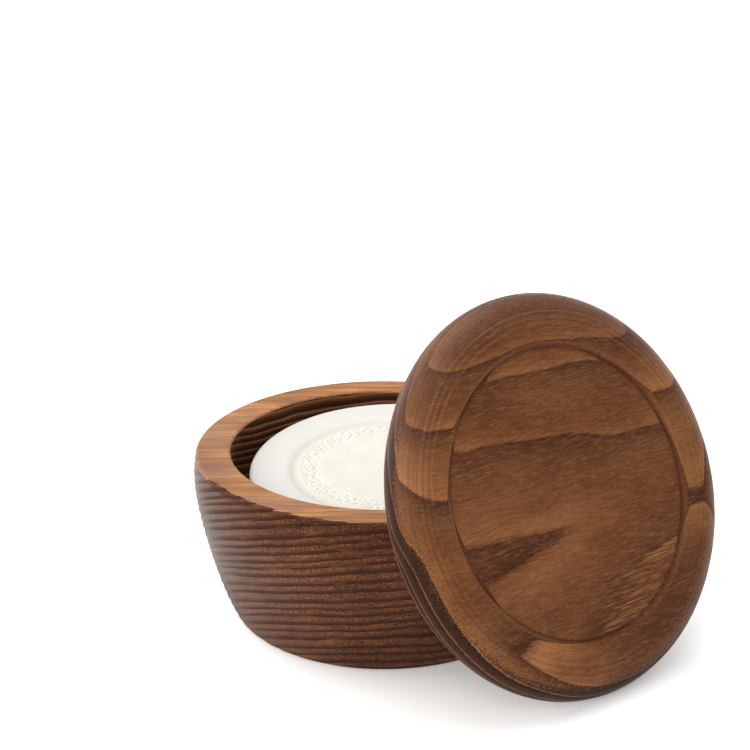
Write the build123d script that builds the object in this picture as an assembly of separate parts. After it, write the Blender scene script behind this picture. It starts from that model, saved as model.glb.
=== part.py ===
from build123d import *
import os
from math import cos, radians, sin

# Turned wooden shaving bowl, its loose lid and the round soap inside it, in millimetres.
# Frame: +Z up, origin at the centre of the bowl's foot, on the table top.
# The lid is off: it stands on its edge on the table and leans against the bowl's rim.
# Every outline below is a list of (radius, height) places turned about the piece's own axis.

# Bowl, outside
BOWL_H = 44.8
FOOT_R = 40.9
LOWER_SIDE = (45.4, 11.2)     # the side tapers out from the foot through these two places
UPPER_SIDE = (49.0, 25.0)
BELLY = (50.8, 38.2)          # widest place, just under the rim
RIM_R = 50.0
FOOT_ROUND = 1.8
RIM_ROUND = 0.9

# Bowl, inside
MOUTH_R = 40.9                # leaves a flat rim about 9 wide
MOUTH_ROUND = 0.7
WALL_Z = 35.0                 # the upright inner wall starts to curve in here
FLOOR_Z = 11.0                # wood left under the hollow
FLOOR_R = 12.0                # flat middle of the hollow

# Lid, measured from its seat plane, which lies on the bowl's rim when the lid is on
LID_R = 50.6
LID_T = 7.5                   # seat plane to the top of the ring round the panel
LID_EDGE_Z = 1.0              # the round shoulder starts this far above the seat plane
LID_SHOULDER_W = 8.0
LID_UNDER_ROUND = 0.9
PANEL_R = 36.2                # turned line where the ring ends and the panel starts
PANEL_DROP = 0.9              # the middle panel lies this far below the ring
LIP_W = 1.8                   # the ring's inner edge rolls over into the line
LINE_W = 0.9                  # the line slopes up to the panel over this width
LINE_D = 0.4                  # and is this far below it
SPIGOT_CLEARANCE = 0.5        # all round, between the spigot and the bowl's mouth
SPIGOT_H = 4.0
SPIGOT_WALL = 5.4
SPIGOT_ROUND = 0.8
DISH_DEPTH = 2.0              # shallow dish turned into the end of the spigot

# Lid, where it stands
LID_LEAN = 25.6               # its plane away from upright
LID_TURN = 36.4               # its face away from -Y, towards +X
LID_ASIDE = 13.6              # its middle, sideways from where it touches the rim
LID_GAP = 0.45                # left between the dish and the rim it leans on

# Soap
SOAP_R = 37.7
SOAP_T = 15.5
SOAP_TOP = (1.5, 0.1, 39.1)   # middle of its top face
SOAP_DIP_FRONT = 5.2          # it lies askew: front edge down,
SOAP_DIP_LEFT = 1.1           # left edge down a little
SOAP_TOP_ROUND = 1.2
SOAP_UNDER_ROUND = 5.0
MEDALLION_R = 24.2            # round medallion stamped in the top face
MOAT_W = 3.2                  # shallow valley round the medallion
MOAT_D = 0.6

SPIGOT_R = MOUTH_R - SPIGOT_CLEARANCE
DISH_R = SPIGOT_R - SPIGOT_WALL
DISH_Z = DISH_DEPTH - SPIGOT_H
PANEL_Z = LID_T - PANEL_DROP


def soften(outline, place, radius):
    """Round the corner of a flat outline nearest to a place."""
    corner = outline.vertices().sort_by_distance(place)[0]
    fillet(corner, radius)


def bowl():
    """Open bowl: flat foot, side bellied out under a flat rim, hollow with a curved floor."""
    with BuildPart() as solid:
        with BuildSketch(Plane.XZ) as outline:
            with BuildLine():
                Line((0, FLOOR_Z), (0, 0))
                Line((0, 0), (FOOT_R, 0))
                Spline((FOOT_R, 0), LOWER_SIDE, UPPER_SIDE, BELLY, (RIM_R, BOWL_H))
                Line((RIM_R, BOWL_H), (MOUTH_R, BOWL_H))
                Line((MOUTH_R, BOWL_H), (MOUTH_R, WALL_Z))
                EllipticalCenterArc(
                    (FLOOR_R, WALL_Z),
                    MOUTH_R - FLOOR_R,
                    WALL_Z - FLOOR_Z,
                    start_angle=270,
                    arc_size=90,
                )
                Line((FLOOR_R, FLOOR_Z), (0, FLOOR_Z))
            make_face()
            soften(outline, (FOOT_R, 0), FOOT_ROUND)
            soften(outline, (RIM_R, BOWL_H), RIM_ROUND)
            soften(outline, (MOUTH_R, BOWL_H), MOUTH_ROUND)
        revolve(axis=Axis.Z)
    return solid.part


def flat_lid():
    """Lid lying on its seat plane: dished spigot below, rounded ring and sunk panel above."""
    with BuildPart() as solid:
        with BuildSketch(Plane.XZ) as outline:
            with BuildLine():
                Polyline(
                    (0, PANEL_Z),
                    (0, DISH_Z),
                    (DISH_R, DISH_Z),
                    (DISH_R, -SPIGOT_H),
                    (SPIGOT_R, -SPIGOT_H),
                    (SPIGOT_R, 0),
                    (LID_R, 0),
                    (LID_R, LID_EDGE_Z),
                )
                EllipticalCenterArc(
                    (LID_R - LID_SHOULDER_W, LID_EDGE_Z),
                    LID_SHOULDER_W,
                    LID_T - LID_EDGE_Z,
                    start_angle=0,
                    arc_size=90,
                )
                Line((LID_R - LID_SHOULDER_W, LID_T), (PANEL_R + LIP_W, LID_T))
                EllipticalCenterArc(
                    (PANEL_R + LIP_W, PANEL_Z - LINE_D),
                    LIP_W,
                    PANEL_DROP + LINE_D,
                    start_angle=90,
                    arc_size=90,
                )
                Polyline(
                    (PANEL_R, PANEL_Z - LINE_D),
                    (PANEL_R - LINE_W, PANEL_Z),
                    (0, PANEL_Z),
                )
            make_face()
            soften(outline, (LID_R, 0), LID_UNDER_ROUND)
            soften(outline, (DISH_R, -SPIGOT_H), SPIGOT_ROUND)
            soften(outline, (SPIGOT_R, -SPIGOT_H), SPIGOT_ROUND)
        revolve(axis=Axis.Z)
    return solid.part


def lid():
    """The lid stood on its edge on the table, its dish against the rim's outer edge."""
    lean = radians(LID_LEAN)
    rim_reach = (
        (RIM_R - RIM_ROUND) * cos(lean)
        + (BOWL_H - RIM_ROUND) * sin(lean)
        + RIM_ROUND
    )
    tilted = Rot(X=90 - LID_LEAN) * flat_lid()
    away = (rim_reach + LID_GAP - DISH_Z) / cos(lean)
    middle_z = -tilted.bounding_box().min.Z
    out = away - middle_z * sin(lean) / cos(lean)
    return Rot(Z=LID_TURN) * Pos(LID_ASIDE, -out, middle_z) * tilted


def flat_soap():
    """Soap puck with its top face at height 0: flat band, shallow moat and medallion."""
    moat_r = MEDALLION_R + MOAT_W
    with BuildPart() as solid:
        with BuildSketch(Plane.XZ) as outline:
            with BuildLine():
                Polyline((0, 0), (0, -SOAP_T), (SOAP_R, -SOAP_T), (SOAP_R, 0), (moat_r, 0))
                ThreePointArc((moat_r, 0), (moat_r - MOAT_W / 2, -MOAT_D), (MEDALLION_R, 0))
                Line((MEDALLION_R, 0), (0, 0))
            make_face()
            soften(outline, (SOAP_R, -SOAP_T), SOAP_UNDER_ROUND)
            soften(outline, (SOAP_R, 0), SOAP_TOP_ROUND)
        revolve(axis=Axis.Z)
    return solid.part


def soap():
    """The soap where it lies, a little askew on the bowl's curved inner wall."""
    return Pos(*SOAP_TOP) * Rot(X=SOAP_DIP_FRONT, Y=-SOAP_DIP_LEFT) * flat_soap()


pieces = {
    "bowl": bowl(),
    "lid": lid(),
    "soap_puck": soap(),
}

os.makedirs("parts", exist_ok=True)
for name, piece in pieces.items():
    export_step(piece, f"parts/{name}.step")
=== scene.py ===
from math import cos, pi, radians, sin

import bpy
import numpy as np
from mathutils import Matrix, Vector


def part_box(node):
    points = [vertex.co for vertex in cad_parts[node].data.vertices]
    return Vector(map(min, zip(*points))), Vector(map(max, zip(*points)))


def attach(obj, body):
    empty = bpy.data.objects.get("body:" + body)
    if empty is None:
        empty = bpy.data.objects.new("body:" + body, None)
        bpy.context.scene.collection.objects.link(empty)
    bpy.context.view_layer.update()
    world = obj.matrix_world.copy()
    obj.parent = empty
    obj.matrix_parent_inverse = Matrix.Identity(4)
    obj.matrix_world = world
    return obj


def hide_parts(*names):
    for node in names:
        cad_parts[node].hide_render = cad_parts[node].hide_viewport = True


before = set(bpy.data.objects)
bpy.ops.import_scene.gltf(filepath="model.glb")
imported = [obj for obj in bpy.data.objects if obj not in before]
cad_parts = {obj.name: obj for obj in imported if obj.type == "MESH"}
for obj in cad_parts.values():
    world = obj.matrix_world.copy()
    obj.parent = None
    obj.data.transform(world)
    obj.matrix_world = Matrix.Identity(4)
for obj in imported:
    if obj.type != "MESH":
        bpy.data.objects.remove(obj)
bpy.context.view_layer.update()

MM = 0.001

# ---------------------------------------------------------------------------
# Sizes, in millimetres. Heights on the bowl are above the table; on the lid,
# above its seat plane; on the soap, above its top face.
# ---------------------------------------------------------------------------
BOWL_H = 44.8
FOOT_R = 40.9
SIDE = [(FOOT_R, 0.0), (45.4, 11.2), (49.0, 25.0), (50.8, 38.2), (50.0, BOWL_H)]
FOOT_ROUND = 1.8
RIM_ROUND = 0.9
RIM_EDGE = SIDE[-1][0] - RIM_ROUND
MOUTH_R = 40.9
MOUTH_ROUND = 0.7
WALL_Z = 35.0             # the inner wall is upright above this and curved below
FLOOR_Z = 11.0
FLOOR_R = 12.0            # flat middle of the floor
BRUSHED_D = 0.22          # how deep the soft wood is brushed out

LID_R = 50.6
LID_T = 7.5
LID_EDGE_Z = 1.0          # where the lid is widest
LID_SHOULDER_W = 8.0      # from the edge in to the flat ring
LID_UNDER_ROUND = 0.9
PANEL_R = 36.2
PANEL_DROP = 0.9          # how far the panel lies under the flat ring
PANEL_Z = LID_T - PANEL_DROP
LIP_W = 1.8               # the ring's inner lip, which rolls over into the turned line
LINE_W = 0.9
LINE_D = 0.4
SPIGOT_R = 40.4
SPIGOT_H = 4.0
SPIGOT_WALL = 5.4
SPIGOT_ROUND = 0.8
DISH_DEPTH = 2.0
LID_LEAN = 25.6           # degrees from upright
LID_TURN = 36.4           # degrees about an upright axis

SOAP_R = 37.7
SOAP_T = 15.5
SOAP_DIP_FRONT = 5.2      # degrees, front edge down
SOAP_DIP_LEFT = 1.1       # degrees, left edge down
SOAP_TOP_ROUND = 1.2
SOAP_UNDER_ROUND = 5.0
MEDALLION_R = 24.2
WREATH_W = 5.6            # pressed band just inside the medallion's edge
WREATH_D = 0.13
WREATH_LEAVES = 34
WREATH_WAVES = 16         # random waves that break up the leaves
MOAT_W = 3.2              # valley round the medallion
MOAT_D = 0.6
MOAT_SPREAD = 0.6         # the fine mesh goes on this far past the valley

BOWL_PITCH = 2.25         # thickness of one year's growth in each block of wood
LID_PITCH = 2.1

# Places round each turned mesh, few enough for it to be exported whole
BOWL_SPOKES = 410
LID_SPOKES = 480
SOAP_SPOKES = 672


# ---------------------------------------------------------------------------
# Outlines: (radius, height) places, run from the axis underneath, round the
# outside, to the axis on top
# ---------------------------------------------------------------------------
def line(start, end, step):
    """Evenly spaced places on a straight run."""
    count = max(1, round(np.hypot(end[0] - start[0], end[1] - start[1]) / step))
    return np.linspace(start, end, count + 1)


def arc(centre, radii, start, end, step):
    """Places on part of an ellipse, from one angle to another in degrees."""
    count = max(3, round(abs(radians(end - start)) * max(radii) / step))
    angle = np.radians(np.linspace(start, end, count + 1))
    return np.c_[centre[0] + radii[0] * np.cos(angle), centre[1] + radii[1] * np.sin(angle)]


def joined(*runs):
    """One outline from runs that follow each other, each place once."""
    places = np.concatenate(runs)
    gap = np.hypot(*np.diff(places, axis=0).T)
    return places[np.r_[True, gap > 1e-4]]


def bowl_outline():
    """Foot, bellied side, flat rim, upright wall and curved floor."""
    heights = [z for _, z in SIDE]
    side = np.polynomial.Polynomial.fit(heights, [r for r, _ in SIDE], 4)
    slope = side.deriv()
    foot_tilt = np.arctan(slope(FOOT_ROUND))
    rim_z = BOWL_H - RIM_ROUND
    rim_tilt = np.arctan(slope(rim_z))
    foot = (side(FOOT_ROUND) - FOOT_ROUND / np.cos(foot_tilt), FOOT_ROUND)
    rim = (side(rim_z) - RIM_ROUND / np.cos(rim_tilt), rim_z)
    low = FOOT_ROUND * (1 - np.sin(foot_tilt))
    high = rim_z - RIM_ROUND * np.sin(rim_tilt)
    climb = np.linspace(low, high, round((high - low) / 0.33) + 1)
    return joined(
        line((0, 0), (foot[0], 0), 2.5),
        arc(foot, (FOOT_ROUND, FOOT_ROUND), -90, -np.degrees(foot_tilt), 0.3),
        np.c_[side(climb), climb],
        arc(rim, (RIM_ROUND, RIM_ROUND), -np.degrees(rim_tilt), 90, 0.22),
        line((rim[0], BOWL_H), (MOUTH_R + MOUTH_ROUND, BOWL_H), 0.7),
        arc(
            (MOUTH_R + MOUTH_ROUND, BOWL_H - MOUTH_ROUND),
            (MOUTH_ROUND, MOUTH_ROUND), 90, 180, 0.22,
        ),
        line((MOUTH_R, BOWL_H - MOUTH_ROUND), (MOUTH_R, WALL_Z), 0.33),
        arc((FLOOR_R, WALL_Z), (MOUTH_R - FLOOR_R, WALL_Z - FLOOR_Z), 360, 270, 1.6),
        line((FLOOR_R, FLOOR_Z), (0, FLOOR_Z), 3.0),
    )


def lid_outline():
    """Dish, spigot, seat, rounded edge and shoulder, ring, lip and sunk panel."""
    dish_z = DISH_DEPTH - SPIGOT_H
    dish_r = SPIGOT_R - SPIGOT_WALL
    tip = -SPIGOT_H + SPIGOT_ROUND
    line_z = PANEL_Z - LINE_D
    return joined(
        line((0, dish_z), (dish_r, dish_z), 2.0),
        line((dish_r, dish_z), (dish_r, tip), 0.4),
        arc((dish_r + SPIGOT_ROUND, tip), (SPIGOT_ROUND, SPIGOT_ROUND), 180, 270, 0.3),
        arc((SPIGOT_R - SPIGOT_ROUND, tip), (SPIGOT_ROUND, SPIGOT_ROUND), 270, 360, 0.3),
        line((SPIGOT_R, tip), (SPIGOT_R, 0), 0.5),
        line((SPIGOT_R, 0), (LID_R - LID_UNDER_ROUND, 0), 0.7),
        arc(
            (LID_R - LID_UNDER_ROUND, LID_UNDER_ROUND),
            (LID_UNDER_ROUND, LID_UNDER_ROUND), 270, 360, 0.2,
        ),
        arc(
            (LID_R - LID_SHOULDER_W, LID_EDGE_Z),
            (LID_SHOULDER_W, LID_T - LID_EDGE_Z), 0, 90, 0.3,
        ),
        line((LID_R - LID_SHOULDER_W, LID_T), (PANEL_R + LIP_W, LID_T), 0.4),
        arc((PANEL_R + LIP_W, line_z), (LIP_W, PANEL_DROP + LINE_D), 90, 180, 0.15),
        line((PANEL_R, line_z), (PANEL_R - LINE_W, PANEL_Z), 0.16),
        line((PANEL_R - LINE_W, PANEL_Z), (0, PANEL_Z), 0.6),
    )


def soap_outline():
    """Rounded puck with a moat round the medallion in its top."""
    moat_r = MEDALLION_R + MOAT_W + MOAT_SPREAD
    return joined(
        line((0, -SOAP_T), (SOAP_R - SOAP_UNDER_ROUND, -SOAP_T), 3.0),
        arc(
            (SOAP_R - SOAP_UNDER_ROUND, SOAP_UNDER_ROUND - SOAP_T),
            (SOAP_UNDER_ROUND, SOAP_UNDER_ROUND), 270, 360, 0.6,
        ),
        line((SOAP_R, SOAP_UNDER_ROUND - SOAP_T), (SOAP_R, -SOAP_TOP_ROUND), 1.0),
        arc(
            (SOAP_R - SOAP_TOP_ROUND, -SOAP_TOP_ROUND),
            (SOAP_TOP_ROUND, SOAP_TOP_ROUND), 0, 90, 0.25,
        ),
        line((SOAP_R - SOAP_TOP_ROUND, 0), (moat_r, 0), 0.5),
        line((moat_r, 0), (MEDALLION_R - WREATH_W, 0), 0.14),
        line((MEDALLION_R - WREATH_W, 0), (0, 0), 0.8),
    )


# ---------------------------------------------------------------------------
# Growth rings: how many rings lie between a place in the wood and a set sheet
# ---------------------------------------------------------------------------
def soft_step(low, high, value):
    """0 below low, 1 above high, smooth between."""
    t = np.clip((value - low) / (high - low), 0, 1)
    return t * t * (3 - 2 * t)


def bowl_rings(p):
    """Sheets of growth that lie across the bowl, rise to the front and bend level behind."""
    x, y, z = p[..., 0], p[..., 1], p[..., 2]
    # near 0 in front, then growing as fast as y does from about 17 mm behind the middle
    level_off = 6.0 * np.logaddexp(0, (y - 17.0) / 6.0)
    sheet = z + 0.45 * y - 0.36 * level_off - 0.05 * x
    sway = 0.22 * np.sin(x / 9.0 + z / 8.0) + 0.16 * np.sin(x / 5.2 - z / 4.5 + 1.0 + y / 7.0)
    sway += 0.07 * np.sin(x / 2.1 + z / 3.1 + y / 3.6) + 0.05 * np.sin(x / 1.3 - z / 1.9 + 2.0)
    turn = (sheet + sway) / BOWL_PITCH
    return turn + 0.14 * np.sin(0.9 * turn + 0.6) + 0.08 * np.sin(2.3 * turn)


def lid_crossing(p):
    """Rings cut through on the way down from the lid's flat ring; few where they dip with it."""
    u, v, w = p[..., 0], p[..., 1], p[..., 2]
    fall = LID_T - w
    gentle = 0.8 * soft_step(-8, 6, v) * soft_step(39, 42, np.hypot(u, v))
    return (fall - gentle * np.minimum(fall, 2.8)) / LID_PITCH


def lid_rings(p):
    """Sheets of growth that swell up along one ridge in the grain and fall off either side."""
    u, v = p[..., 0], p[..., 1]
    # the sheets' height along the ridge, in rings
    ridge = 0.65 + 0.35 * (1 - soft_step(-8, 40, u)) + 0.0018 * np.maximum(-5 - u, 0)
    # how far a place lies from the ridge's bent line, rounded off at the line itself
    aside = v + 9.0 + 0.0015 * (u + 5.0) ** 2
    away = np.sqrt(aside**2 + 16.0) - 4.0
    # the fall on the ridge's upper side, and on its lower side, where it levels out
    above = (0.046 - 1.6e-5 * (u - 5.0) ** 2) * away
    above += (2.2e-4 + 3.4e-7 * (u - 10.0) ** 2) * away**2
    deepest = ridge + 0.30
    below = (0.023 + 4.0e-5 * np.maximum(u + 28.0, 0) ** 2) * away
    below = deepest * np.tanh(below / deepest)
    sheet = ridge - np.where(aside > 0, above, below)
    # count on from the panel's level, with the flat ring's figure a little apart from it
    sheet += lid_crossing(p) - PANEL_DROP / LID_PITCH
    sheet -= 0.20 * soft_step(PANEL_R, PANEL_R + LIP_W, np.hypot(u, v))
    sway = 0.02 * np.sin(u / 7.0 + v / 5.0) + 0.02 * np.sin(u / 4.1 - v / 8.0 + 2.0)
    return sheet + sway * soft_step(3, 12, np.abs(aside))


# ---------------------------------------------------------------------------
# Turned pieces
# ---------------------------------------------------------------------------
def turned(name, outline, spokes, relief, **measures):
    """A closed mesh turned about Z from an outline, pushed out by relief.

    relief(places, outline places) gives millimetres along the surface's outward normal.
    The places before relief are kept on the mesh as "grain", and each measure(places)
    under its own name, for the material.
    """
    run = np.gradient(outline, axis=0)
    normal = np.c_[run[:, 1], -run[:, 0]]
    normal /= np.linalg.norm(normal, axis=1)[:, None]
    normal[[0, -1]] = [(0, -1), (0, 1)]
    angle = np.arange(spokes) * 2 * pi / spokes
    spin = np.stack([np.cos(angle), np.sin(angle)], -1)

    def spun(flat):
        around = flat[:, None, :1] * spin[None]
        up = np.broadcast_to(flat[:, None, 1:], around.shape[:2] + (1,))
        return np.concatenate([around, up], -1)

    rest = spun(outline)
    place = rest + relief(rest, outline[:, None, :])[..., None] * spun(normal)
    rows = len(outline)
    body = place[1:-1].reshape(-1, 3)
    verts = np.concatenate([body, place[0, :1], place[-1, :1]])
    still = np.concatenate([rest[1:-1].reshape(-1, 3), rest[0, :1], rest[-1, :1]])
    first, last = len(body), len(body) + 1
    j = np.arange(spokes)
    k = (j + 1) % spokes
    strips = [
        np.stack([i * spokes + j, i * spokes + k, (i + 1) * spokes + k, (i + 1) * spokes + j], -1)
        for i in range(rows - 3)
    ]
    faces = np.concatenate(strips).tolist()
    faces += np.stack([np.full(spokes, first), k, j], -1).tolist()
    top = (rows - 3) * spokes
    faces += np.stack([np.full(spokes, last), top + j, top + k], -1).tolist()
    mesh = bpy.data.meshes.new(name)
    mesh.from_pydata((verts * MM).tolist(), [], faces)
    mesh.shade_smooth()
    grain = mesh.attributes.new("grain", "FLOAT_VECTOR", "POINT")
    grain.data.foreach_set("vector", still.ravel())
    for title, measure in measures.items():
        kept = mesh.attributes.new(title, "FLOAT", "POINT")
        kept.data.foreach_set("value", measure(still).ravel())
    piece = bpy.data.objects.new(name, mesh)
    bpy.context.scene.collection.objects.link(piece)
    return piece


def put(piece, turn, node):
    """Turn a piece about its own origin, then move it to the middle of its CAD node's box."""
    piece.data.transform(turn.to_4x4())
    low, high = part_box(node)
    co = np.empty(len(piece.data.vertices) * 3)
    piece.data.vertices.foreach_get("co", co)
    co = co.reshape(-1, 3)
    middle = Vector((co.min(0) + co.max(0)) / 2)
    piece.data.transform(Matrix.Translation((low + high) / 2 - middle))


def groove_shape(growth):
    """Height across one ring, from the groove brushed out of its soft side (0) to its crest (1)."""
    part = growth - np.floor(growth)
    return soft_step(0, 0.34, part) * (1 - soft_step(0.70, 1.0, part))


def bowl_relief(place, outline):
    """Soft wood brushed out between the rings on the side and the wall; none on the rim."""
    below_rim = BOWL_H - outline[..., 1]
    brushed = soft_step(0.3, 2.2, below_rim) * soft_step(0.0, 1.0, outline[..., 1])
    depth = BRUSHED_D * brushed
    wander = 0.75 + 0.25 * np.sin(place[..., 0] / 6.0 + place[..., 2] / 3.0)
    return depth * wander * (groove_shape(bowl_rings(place)) - 1)


def lid_relief(place, outline):
    """Hardly any: the lid is turned smooth."""
    return 0.03 * (groove_shape(lid_rings(place)) - 1)


def soap_relief(place, outline):
    """A soft valley round the medallion, its pressed wreath, and the softness of soap."""
    chance = np.random.default_rng(11)
    x, y = place[..., 0], place[..., 1]
    r = np.hypot(x, y)
    angle = np.arctan2(y, x)
    top = soft_step(-0.6, -0.05, outline[..., 1])
    middle = MEDALLION_R + MOAT_W / 2
    valley = np.exp(-(((r - middle) / (0.42 * MOAT_W)) ** 2))
    inner = MEDALLION_R - WREATH_W
    wreath = soft_step(inner, inner + 1.4, r) * (1 - soft_step(MEDALLION_R - 0.6, MEDALLION_R, r))
    leaf = 0.6 * np.cos(WREATH_LEAVES * angle + 1.9 * r + 1.5 * np.sin(3 * angle))
    for closeness, heading, start in zip(
        chance.uniform(2.8, 5.2, WREATH_WAVES),
        chance.uniform(0, pi, WREATH_WAVES),
        chance.uniform(0, 2 * pi, WREATH_WAVES),
    ):
        ahead = x * cos(heading) + y * sin(heading)
        leaf = leaf + 0.35 * np.cos(closeness * ahead + start)
    stamped = WREATH_D * wreath * (np.tanh(1.6 * leaf - 0.9) - 1.0)
    uneven = 0.08 * np.sin(x / 5.0 + 0.4) * np.sin(y / 6.0 + 1.0)
    return top * (stamped - MOAT_D * valley + uneven - 0.08)


# ---------------------------------------------------------------------------
# Materials. The grain runs along X of each turned wooden piece, so noise in the
# wood is coarse along X and fine across it.
# ---------------------------------------------------------------------------
WOOD_SHINE = 0.09         # specular level of the oiled wood


def colour(red, green, blue):
    """A linear colour from display values of 0 to 255."""
    value = np.array([red, green, blue]) / 255
    linear = np.where(value <= 0.04045, value / 12.92, ((value + 0.055) / 1.055) ** 2.4)
    return (*linear, 1.0)


class Shader:
    """A material's node tree, with short ways to add nodes to it."""

    def __init__(self, name):
        self.material = bpy.data.materials.new(name)
        self.material.use_nodes = True
        self.tree = self.material.node_tree
        self.surface = self.tree.nodes["Principled BSDF"]

    def feed(self, socket, value):
        """Link a node's output to a socket, or set a plain value on it."""
        if isinstance(value, bpy.types.NodeSocket):
            self.tree.links.new(value, socket)
        elif value is not None:
            socket.default_value = value

    def add(self, kind, **values):
        node = self.tree.nodes.new(kind)
        for key, value in values.items():
            setattr(node, key, value)
        return node

    def give(self, name, value):
        """Set one of the surface's own inputs, or link it."""
        self.feed(self.surface.inputs[name], value)

    def math(self, operation, a, b=None, c=None):
        node = self.add("ShaderNodeMath", operation=operation)
        for socket, value in zip(node.inputs, (a, b, c)):
            self.feed(socket, value)
        return node.outputs[0]

    def times(self, first, *others):
        """The product of all the values."""
        product = first
        for other in others:
            product = self.math("MULTIPLY", product, other)
        return product

    def vector(self, operation, a, b):
        node = self.add("ShaderNodeVectorMath", operation=operation)
        self.feed(node.inputs[0], a)
        self.feed(node.inputs[1], b)
        return node.outputs[0]

    def attribute(self, name, output):
        return self.add("ShaderNodeAttribute", attribute_name=name).outputs[output]

    def split(self, vector):
        node = self.add("ShaderNodeSeparateXYZ")
        self.feed(node.inputs[0], vector)
        return node.outputs

    def noise(self, vector, scale=1.0, detail=3.0, roughness=0.5, fineness=None):
        """Soft noise from 0 to 1. Fineness multiplies the places along each axis."""
        if fineness is not None:
            vector = self.vector("MULTIPLY", vector, fineness)
        node = self.add("ShaderNodeTexNoise")
        self.feed(node.inputs["Vector"], vector)
        self.feed(node.inputs["Scale"], scale)
        self.feed(node.inputs["Detail"], detail)
        self.feed(node.inputs["Roughness"], roughness)
        return node.outputs["Fac"]

    def span(self, value, low, high, to_low=0.0, to_high=1.0):
        """From to_low at low to to_high at high, level beyond them, smooth between."""
        node = self.add("ShaderNodeMapRange", interpolation_type="SMOOTHSTEP")
        for socket, number in zip(node.inputs, (value, low, high, to_low, to_high)):
            self.feed(socket, number)
        return node.outputs[0]

    def ramp(self, value, stops):
        """Colours at places from 0 to 1, mixed between them."""
        node = self.add("ShaderNodeValToRGB")
        self.feed(node.inputs[0], value)
        elements = node.color_ramp.elements
        while len(elements) < len(stops):
            elements.new(0.5)
        for element, (place, tint) in zip(elements, stops):
            element.position = place
            element.color = tint
        return node.outputs[0]

    def mix(self, amount, a, b, blend="MIX"):
        node = self.add("ShaderNodeMix", data_type="RGBA", blend_type=blend)
        self.feed(node.inputs[0], amount)
        self.feed(node.inputs[6], a)
        self.feed(node.inputs[7], b)
        return node.outputs[2]

    def wash(self, under, tint, where, strength):
        """A colour laid over another where it belongs, at most at the given strength."""
        return self.mix(self.times(where, strength), under, tint)

    def bump(self, height, distance, strength, normal=None):
        node = self.add("ShaderNodeBump")
        self.feed(node.inputs["Height"], height)
        self.feed(node.inputs["Distance"], distance)
        self.feed(node.inputs["Strength"], strength)
        if normal is not None:
            self.feed(node.inputs["Normal"], normal)
        return node.outputs[0]


def growth_part(shader, grain, jag):
    """How far through its ring each place is, 0 to 1, its edge frayed along the fibres."""
    fray = shader.noise(grain, detail=4.0, roughness=0.7, fineness=(0.14, 2.2, 2.2))
    drift = shader.times(shader.math("SUBTRACT", fray, 0.5), jag)
    rings = shader.math("ADD", shader.attribute("rings", "Fac"), drift)
    return shader.math("FRACT", rings)


def from_axis(shader, grain):
    """Distance from the axis the piece was turned about."""
    flat = shader.add("ShaderNodeVectorMath", operation="LENGTH")
    shader.feed(flat.inputs[0], shader.vector("MULTIPLY", grain, (1.0, 1.0, 0.0)))
    return flat.outputs["Value"]


def pores(shader, grain):
    """Fine open vessels, seen as short dark streaks along the grain."""
    fine = shader.noise(grain, detail=2.0, roughness=0.6, fineness=(0.45, 5.0, 5.0))
    return shader.span(fine, 0.56, 0.70)


def dull_wood(shader):
    """Oiled wood with little shine of its own, only a soft bloom where it turns away."""
    shader.give("Specular IOR Level", WOOD_SHINE)
    shader.give("Sheen Roughness", 0.28)


def bowl_side(shader, grain, part, outside):
    """Flecked ribs on the outside and paler bands on the inner wall, with the flecks' height; the
    wall's bands are the wood's own, made paler as painted light for the dimly lit inside.
    """
    side = shader.ramp(part, [
        (0.00, colour(46, 24, 14)),
        (0.14, colour(53, 28, 17)),
        (0.36, colour(70, 39, 23)),
        (0.60, colour(87, 50, 29)),
        (0.88, colour(98, 58, 34)),
        (0.97, colour(76, 43, 26)),
    ])
    # Inner wall: the wood's own bands, lifted paler as painted light where the inside is dimly lit.
    wall = shader.ramp(part, [
        (0.00, colour(58, 33, 19)),
        (0.45, colour(76, 46, 28)),
        (0.70, colour(112, 72, 46)),
        (0.86, colour(152, 104, 70)),
        (0.97, colour(88, 55, 35)),
    ])
    layered = shader.add("ShaderNodeCombineXYZ")
    shader.feed(layered.inputs[0], shader.times(shader.split(grain)[0], 0.05))
    shader.feed(layered.inputs[1], shader.attribute("rings", "Fac"))
    seam = shader.noise(layered.outputs[0], scale=2.6, detail=2.0, roughness=0.6)
    side = shader.mix(shader.span(seam, 0.50, 0.34, 0.0, 0.55), side, colour(64, 36, 23))
    side = shader.mix(shader.span(seam, 0.52, 0.70, 0.0, 0.45), side, colour(128, 80, 50))
    side = shader.mix(outside, wall, side)
    fleck = shader.noise(grain, detail=1.0, roughness=0.5, fineness=(1.9, 3.5, 3.5))
    crest = shader.times(shader.span(part, 0.30, 0.62), shader.span(part, 1.0, 0.90))
    crest = shader.times(crest, shader.span(outside, 0.0, 1.0, 0.2, 1.0))
    glint = shader.times(shader.span(fleck, 0.50, 0.64), crest)
    side = shader.wash(side, colour(152, 95, 56), glint, 0.64)
    pit = shader.times(shader.span(fleck, 0.48, 0.35), crest)
    side = shader.wash(side, colour(50, 26, 15), pit, 0.58)
    return side, shader.math("SUBTRACT", glint, pit)


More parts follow.
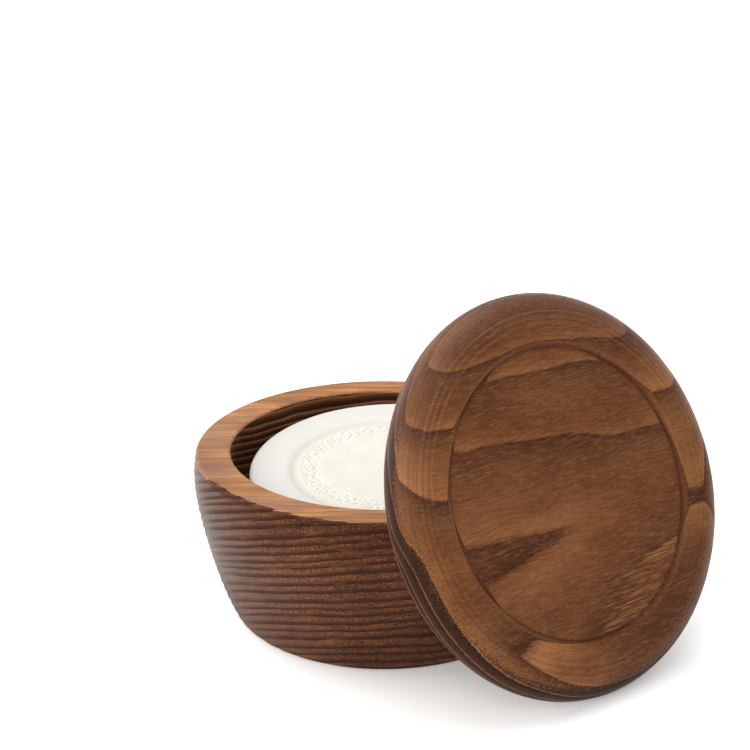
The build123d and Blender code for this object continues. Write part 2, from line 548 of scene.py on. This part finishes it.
def bowl_rim(shader, grain, part, layer):
    """Sanded wood with golden layers, blushes and dark threads; a painted greyish reflection
    towards the left and painted shade towards the back.
    """
    rim = shader.ramp(part, [
        (0.00, colour(156, 108, 74)),
        (0.30, colour(172, 122, 84)),
        (0.65, colour(182, 132, 90)),
        (1.00, colour(176, 126, 85)),
    ])
    rim = shader.mix(shader.span(layer, 0.42, 0.60, 0.0, 0.9), rim, colour(206, 155, 100))
    blush = shader.noise(grain, detail=2.0, roughness=0.5, fineness=(0.05, 0.40, 0.40))
    rim = shader.mix(shader.span(blush, 0.46, 0.62, 0.0, 0.9), rim, colour(158, 118, 98))
    thread = shader.noise(grain, detail=2.0, roughness=0.6, fineness=(0.10, 2.2, 2.2))
    rim = shader.mix(shader.span(thread, 0.54, 0.72, 0.0, 0.6), rim, colour(134, 90, 58))
    along, back, _ = shader.split(grain)
    # Painted reflection: the rim turns greyer towards the left.
    rim = shader.mix(shader.span(along, -36.0, -48.0, 0.0, 0.45), rim, colour(160, 122, 102))
    # Painted shade: the rim is multiplied darker towards the back.
    return shader.mix(shader.span(back, 5.0, 38.0), rim, colour(240, 226, 206), "MULTIPLY")


def bowl_sanded(shader, radius, height, layer, behind, outside):
    """Where the sanding of the rim has reached, its outer edge ragged with the layers."""
    ragged = shader.math("MULTIPLY_ADD", shader.math("SUBTRACT", layer, 0.5), -3.2, radius)
    ragged = shader.math("MULTIPLY_ADD", behind, -3.0, ragged)
    short_of_edge = shader.span(ragged, RIM_EDGE + 0.2, RIM_EDGE - 0.1)
    lower = shader.math("MULTIPLY_ADD", layer, 1.2, 0.2)
    lower = shader.times(lower, shader.times(behind, outside))
    reach = shader.math("ADD", height, lower)
    return shader.times(short_of_edge, shader.span(reach, BOWL_H - 0.55, BOWL_H - 0.35))


def bowl_bloom(shader, height, sanded, behind, outside):
    """Bloom on the outside: less near the foot and on the sanded rim, none at its front corner."""
    corner = shader.times(shader.span(height, BOWL_H - 1.8, BOWL_H - 1.0), outside)
    corner = shader.times(corner, shader.math("SUBTRACT", 1.0, behind))
    bloom = shader.times(shader.span(corner, 0.0, 1.0, 0.42, 0.0), outside)
    bloom = shader.times(bloom, shader.span(sanded, 0.0, 1.0, 1.0, 0.2))
    return shader.times(bloom, shader.span(height, 2.0, 26.0, 0.25, 1.0))


def bowl_wood():
    """Dark roasted wood: banded on the side and wall, paler where the rim is sanded."""
    shader = Shader("bowl_wood")
    grain = shader.attribute("grain", "Vector")
    part = growth_part(shader, grain, jag=0.14)
    _, back, height = shader.split(grain)
    radius = from_axis(shader, grain)
    outside = shader.span(radius, MOUTH_R + 0.2, MOUTH_R + 1.0)
    behind = shader.span(back, -30.0, -10.0)
    side, dents = bowl_side(shader, grain, part, outside)
    layer = shader.noise(grain, detail=3.0, roughness=0.6, fineness=(0.035, 0.9, 0.9))
    sanded = bowl_sanded(shader, radius, height, layer, behind, outside)
    tint = shader.mix(sanded, side, bowl_rim(shader, grain, part, layer))
    cloud = shader.noise(grain, detail=2.0, fineness=(0.03, 0.08, 0.08))
    tint = shader.mix(shader.span(cloud, 0.3, 0.7), tint, colour(215, 205, 198), "MULTIPLY")
    shader.give("Base Color", tint)
    shader.give("Roughness", shader.span(part, 0.0, 0.6, 0.66, 0.54))
    dull_wood(shader)
    shader.give("Sheen Weight", bowl_bloom(shader, height, sanded, behind, outside))
    shader.give("Normal", shader.bump(dents, 0.10 * MM, 0.7))
    return shader.material


def lid_layers(shader, part, along, over, on_ring):
    """Colour across each growth ring, more golden at the lid's left, right and lower left."""
    panel = shader.ramp(part, [
        (0.00, colour(66, 37, 22)),
        (0.025, colour(82, 48, 29)),
        (0.10, colour(94, 56, 34)),
        (0.30, colour(105, 64, 38)),
        (0.80, colour(115, 71, 43)),
        (0.97, colour(133, 86, 52)),
        (1.00, colour(92, 55, 33)),
    ])
    ring = shader.ramp(part, [
        (0.00, colour(62, 34, 20)),
        (0.04, colour(82, 48, 28)),
        (0.14, colour(104, 65, 38)),
        (0.40, colour(130, 83, 49)),
        (0.80, colour(148, 97, 58)),
        (0.965, colour(162, 108, 66)),
        (1.00, colour(104, 64, 38)),
    ])
    waist = shader.span(shader.math("ABSOLUTE", over), 40.0, 16.0)
    corner = shader.times(shader.span(along, 2.0, -14.0), shader.span(over, 0.0, -10.0))
    golden = shader.times(on_ring, shader.math("MAXIMUM", waist, corner))
    return shader.mix(golden, panel, ring)


def lid_fibres(shader, grain, tint):
    """Dark pores, pale fibres and dull fibres over the colour, with the height they give."""
    hole = pores(shader, grain)
    tint = shader.wash(tint, colour(50, 27, 16), hole, 0.42)
    fibre = shader.noise(grain, detail=3.0, roughness=0.75, fineness=(0.34, 3.4, 3.4))
    tint = shader.wash(tint, colour(168, 110, 66), shader.span(fibre, 0.46, 0.72), 0.38)
    tint = shader.wash(tint, colour(62, 34, 20), shader.span(fibre, 0.52, 0.28), 0.46)
    return tint, shader.math("SUBTRACT", fibre, hole)


def lid_splinters(shader, grain, part, torn, tint):
    """Pale lifted splinters and dark gaps beside the rings' edges, where the wood is torn."""
    splinter = shader.noise(grain, detail=1.0, roughness=0.5, fineness=(0.13, 2.4, 2.4))
    beside = shader.math("MAXIMUM", shader.span(part, 0.72, 0.95), shader.span(part, 0.20, 0.05))
    torn_edge = shader.times(torn, beside)
    lifted = shader.times(shader.span(splinter, 0.52, 0.60), torn_edge)
    tint = shader.wash(tint, colour(152, 102, 64), lifted, 0.62)
    gap = shader.times(shader.span(splinter, 0.48, 0.40), torn_edge)
    return shader.wash(tint, colour(70, 41, 25), gap, 0.60)


def lid_end_grain_shade(shader, grain, part, across, over, height, tint):
    """Darker, cooler wood on the shoulder, where many rings are cut through side by side: partly
    the end grain's own colour, partly painted shade, low on the shoulder only.
    """
    speck = shader.noise(grain, detail=2.0, roughness=0.6, fineness=(1.2, 3.0, 3.0))
    patchy = shader.math("MULTIPLY_ADD", shader.math("SUBTRACT", speck, 0.5), 1.6, across)
    end_grain_shade = shader.span(patchy, 0.30, 0.95, 0.0, 0.9)
    # Painted shade: kept off the underside, and fading out towards the lid's top, where the light
    # falls.
    end_grain_shade = shader.times(end_grain_shade, shader.span(height, 0.0, 1.4), shader.span(over, 40.0, 22.0))
    crest = shader.times(shader.span(part, 0.80, 0.90), shader.span(part, 1.0, 0.96))
    end_grain_shade = shader.times(end_grain_shade, shader.span(crest, 0.0, 1.0, 1.0, 0.45))
    return shader.mix(end_grain_shade, tint, colour(66, 55, 62), "MULTIPLY")


def lid_tool_marks(shader, radius, over, on_ring, cloud, tint):
    """Fine circles left by the lathe outside the panel, dark all round and pale above."""
    circle = shader.vector("MULTIPLY", radius, (1.0, 0.0, 0.0))
    tool = shader.noise(circle, scale=1.3, detail=4.0, roughness=0.7)
    mark = shader.times(shader.span(tool, 0.46, 0.58), on_ring)
    tint = shader.wash(tint, colour(66, 38, 24), mark, 0.34)
    scratch = shader.times(shader.span(tool, 0.45, 0.36), shader.span(cloud, 0.40, 0.55))
    scratch = shader.times(scratch, shader.times(on_ring, shader.span(over, 2.0, 16.0)))
    tint = shader.wash(tint, colour(170, 114, 74), scratch, 0.40)
    return tint, mark


def lid_wood():
    """The same wood cut flat to the grain and turned smooth."""
    shader = Shader("lid_wood")
    grain = shader.attribute("grain", "Vector")
    along, over, height = shader.split(grain)
    radius = from_axis(shader, grain)
    on_ring = shader.span(radius, PANEL_R - 0.5, PANEL_R + 2.0)
    shoulder = shader.span(radius, PANEL_R + 5.0, PANEL_R + 9.0)
    across = shader.times(shader.attribute("across", "Fac"), shoulder)
    torn = shader.times(shader.span(over, -15.0, -22.0), shader.span(along, -8.0, 4.0))
    torn = shader.times(torn, shader.math("SUBTRACT", 1.0, on_ring))
    jag = shader.math("ADD", torn, shader.span(across, 0.05, 0.6, 0.07, 0.40))
    part = growth_part(shader, grain, jag)
    tint = lid_layers(shader, part, along, over, on_ring)
    cloud = shader.noise(grain, detail=3.0, fineness=(0.04, 0.10, 0.10))
    tint = shader.mix(shader.span(cloud, 0.3, 0.7), tint, colour(214, 202, 190), "MULTIPLY")
    tint, dents = lid_fibres(shader, grain, tint)
    tint = lid_splinters(shader, grain, part, torn, tint)
    # Darker end grain on the shoulder, with painted shade low on it.
    tint = lid_end_grain_shade(shader, grain, part, across, over, height, tint)
    tint, mark = lid_tool_marks(shader, radius, over, on_ring, cloud, tint)
    # Painted shade: a dark band along the turned line round the panel, on the top side only.
    from_line = shader.math("ABSOLUTE", shader.math("SUBTRACT", radius, PANEL_R + 0.1))
    groove_shade = shader.span(from_line, 0.7, 0.1, 0.0, 0.35)
    groove_shade = shader.times(groove_shade, shader.span(height, 4.0, 5.0))
    shader.give("Base Color", shader.mix(groove_shade, tint, colour(48, 26, 15)))
    shader.give("Roughness", shader.span(part, 0.0, 0.6, 0.50, 0.40))
    dull_wood(shader)
    upper = shader.times(shader.span(over, -8.0, 25.0), shoulder)
    shader.give("Specular IOR Level", shader.math("MULTIPLY_ADD", upper, 0.13, WOOD_SHINE))
    shader.give("Sheen Weight", shader.math("MULTIPLY_ADD", upper, 0.32, 0.03))
    cut = shader.bump(mark, 0.03 * MM, 0.5)
    shader.give("Normal", shader.bump(dents, 0.06 * MM, 0.6, cut))
    return shader.material


def pressed_soap():
    """White soap, a little translucent: cool outer band, warmer medallion, and painted shade in the
    valley round it.
    """
    shader = Shader("soap")
    grain = shader.attribute("grain", "Vector")
    cloud = shader.noise(grain, detail=3.0, fineness=(0.15, 0.15, 0.15))
    tint = shader.mix(shader.span(cloud, 0.3, 0.7), colour(217, 214, 204), colour(212, 208, 197))
    radius = from_axis(shader, grain)
    outer = shader.span(radius, MEDALLION_R + 1.0, MEDALLION_R + 4.0)
    tint = shader.mix(outer, tint, colour(211, 209, 204))
    # Painted shade: a beige darkening along the valley round the medallion.
    middle = shader.math("SUBTRACT", radius, MEDALLION_R + 1.2)
    valley = shader.span(shader.math("ABSOLUTE", middle), 1.6, 0.2)
    shader.give("Base Color", shader.wash(tint, colour(196, 190, 176), valley, 0.50))
    fine = shader.noise(grain, detail=3.0, fineness=(1.4, 1.4, 1.4))
    shader.give("Roughness", shader.span(fine, 0.3, 0.7, 0.40, 0.52))
    shader.give("Subsurface Weight", 0.35)
    shader.give("Subsurface Radius", (1.0, 0.9, 0.75))
    shader.give("Subsurface Scale", 1.2 * MM)
    shader.give("Normal", shader.bump(fine, 0.08 * MM, 0.4))
    return shader.material


def floor_paint():
    """Plain pale floor with a little light of its own, which keeps its shadows faint."""
    shader = Shader("floor")
    shader.give("Base Color", colour(250, 250, 249))
    shader.give("Roughness", 0.9)
    shader.give("Emission Color", colour(255, 255, 255))
    shader.give("Emission Strength", 0.2)
    return shader.material


# ---------------------------------------------------------------------------
# The object
# ---------------------------------------------------------------------------
def make_bowl():
    piece = turned("turned_bowl", bowl_outline(), BOWL_SPOKES, bowl_relief, rings=bowl_rings)
    piece.data.materials.append(bowl_wood())
    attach(piece, "bowl")
    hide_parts("bowl")


def make_lid():
    measures = {"rings": lid_rings, "across": lid_crossing}
    piece = turned("turned_lid", lid_outline(), LID_SPOKES, lid_relief, **measures)
    lean = Matrix.Rotation(radians(90 - LID_LEAN), 3, "X")
    put(piece, Matrix.Rotation(radians(LID_TURN), 3, "Z") @ lean, "lid")
    piece.data.materials.append(lid_wood())
    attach(piece, "lid")
    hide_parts("lid")


def make_soap():
    piece = turned("pressed_soap", soap_outline(), SOAP_SPOKES, soap_relief)
    dip = Matrix.Rotation(radians(SOAP_DIP_FRONT), 3, "X")
    put(piece, dip @ Matrix.Rotation(radians(-SOAP_DIP_LEFT), 3, "Y"), "soap_puck")
    piece.data.materials.append(pressed_soap())
    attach(piece, "soap")
    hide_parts("soap_puck")


# ---------------------------------------------------------------------------
# Floor, light and camera
# ---------------------------------------------------------------------------
FLOOR_SIZE = 60.0         # metres, far past the edges of the camera's view
SKY = 0.55                # strength of the white light from all round
LIT_PLACE = (0.02, -0.01, 0.03)


def make_floor():
    bpy.ops.mesh.primitive_plane_add(size=FLOOR_SIZE, location=(0, 0, 0))
    floor = bpy.context.object
    floor.name = "floor"
    floor.data.materials.append(floor_paint())


def softbox(name, place, size, power):
    """A square area light that looks at the object. Places and sizes in metres, power in watts."""
    data = bpy.data.lights.new(name, "AREA")
    data.size = size
    data.energy = power
    light = bpy.data.objects.new(name, data)
    light.location = place
    light.rotation_euler = (Vector(LIT_PLACE) - Vector(place)).to_track_quat("-Z", "Y").to_euler()
    bpy.context.scene.collection.objects.link(light)


def make_lights():
    world = bpy.data.worlds.new("studio")
    bpy.context.scene.world = world
    world.use_nodes = True
    sky = world.node_tree.nodes["Background"]
    sky.inputs[0].default_value = (1.0, 1.0, 1.0, 1.0)
    sky.inputs[1].default_value = SKY
    softbox("top", (-0.10, 0.45, 1.80), 1.8, 20.0)
    softbox("left", (-1.10, 0.40, 0.55), 1.5, 19.0)
    softbox("front", (-0.50, -1.40, 0.90), 1.2, 12.0)
    view = bpy.context.scene.view_settings
    view.view_transform = "Standard"
    view.look = "None"


CAMERA_LENS = 81.5
CAMERA_SENSOR = 36.0
CAMERA_DOWN = 20.0        # degrees below level
CAMERA_AWAY = 452.6       # from the middle of the bowl's mouth, along the line of sight
CAMERA_LEFT = 2.43        # across the line of sight, from that middle
CAMERA_UP = 18.67
CAMERA_ROLL = -0.28       # degrees


def make_camera():
    """A long lens that looks a little down on the bowl and the lid, with a slight roll."""
    data = bpy.data.cameras.new("camera")
    data.lens = CAMERA_LENS
    data.sensor_width = CAMERA_SENSOR
    camera = bpy.data.objects.new("camera", data)
    down = radians(CAMERA_DOWN)
    ahead = Vector((0, cos(down), -sin(down)))
    up = Vector((0, sin(down), cos(down)))
    mouth = Vector((0, 0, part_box("bowl")[1].z))
    place = mouth - CAMERA_AWAY * MM * ahead + CAMERA_UP * MM * up
    camera.location = place - Vector((CAMERA_LEFT * MM, 0, 0))
    look = Matrix.Rotation(radians(90 - CAMERA_DOWN), 3, "X")
    camera.rotation_euler = (look @ Matrix.Rotation(radians(CAMERA_ROLL), 3, "Z")).to_euler()
    bpy.context.scene.collection.objects.link(camera)
    bpy.context.scene.camera = camera


make_bowl()
make_lid()
make_soap()
make_floor()
make_lights()
make_camera()
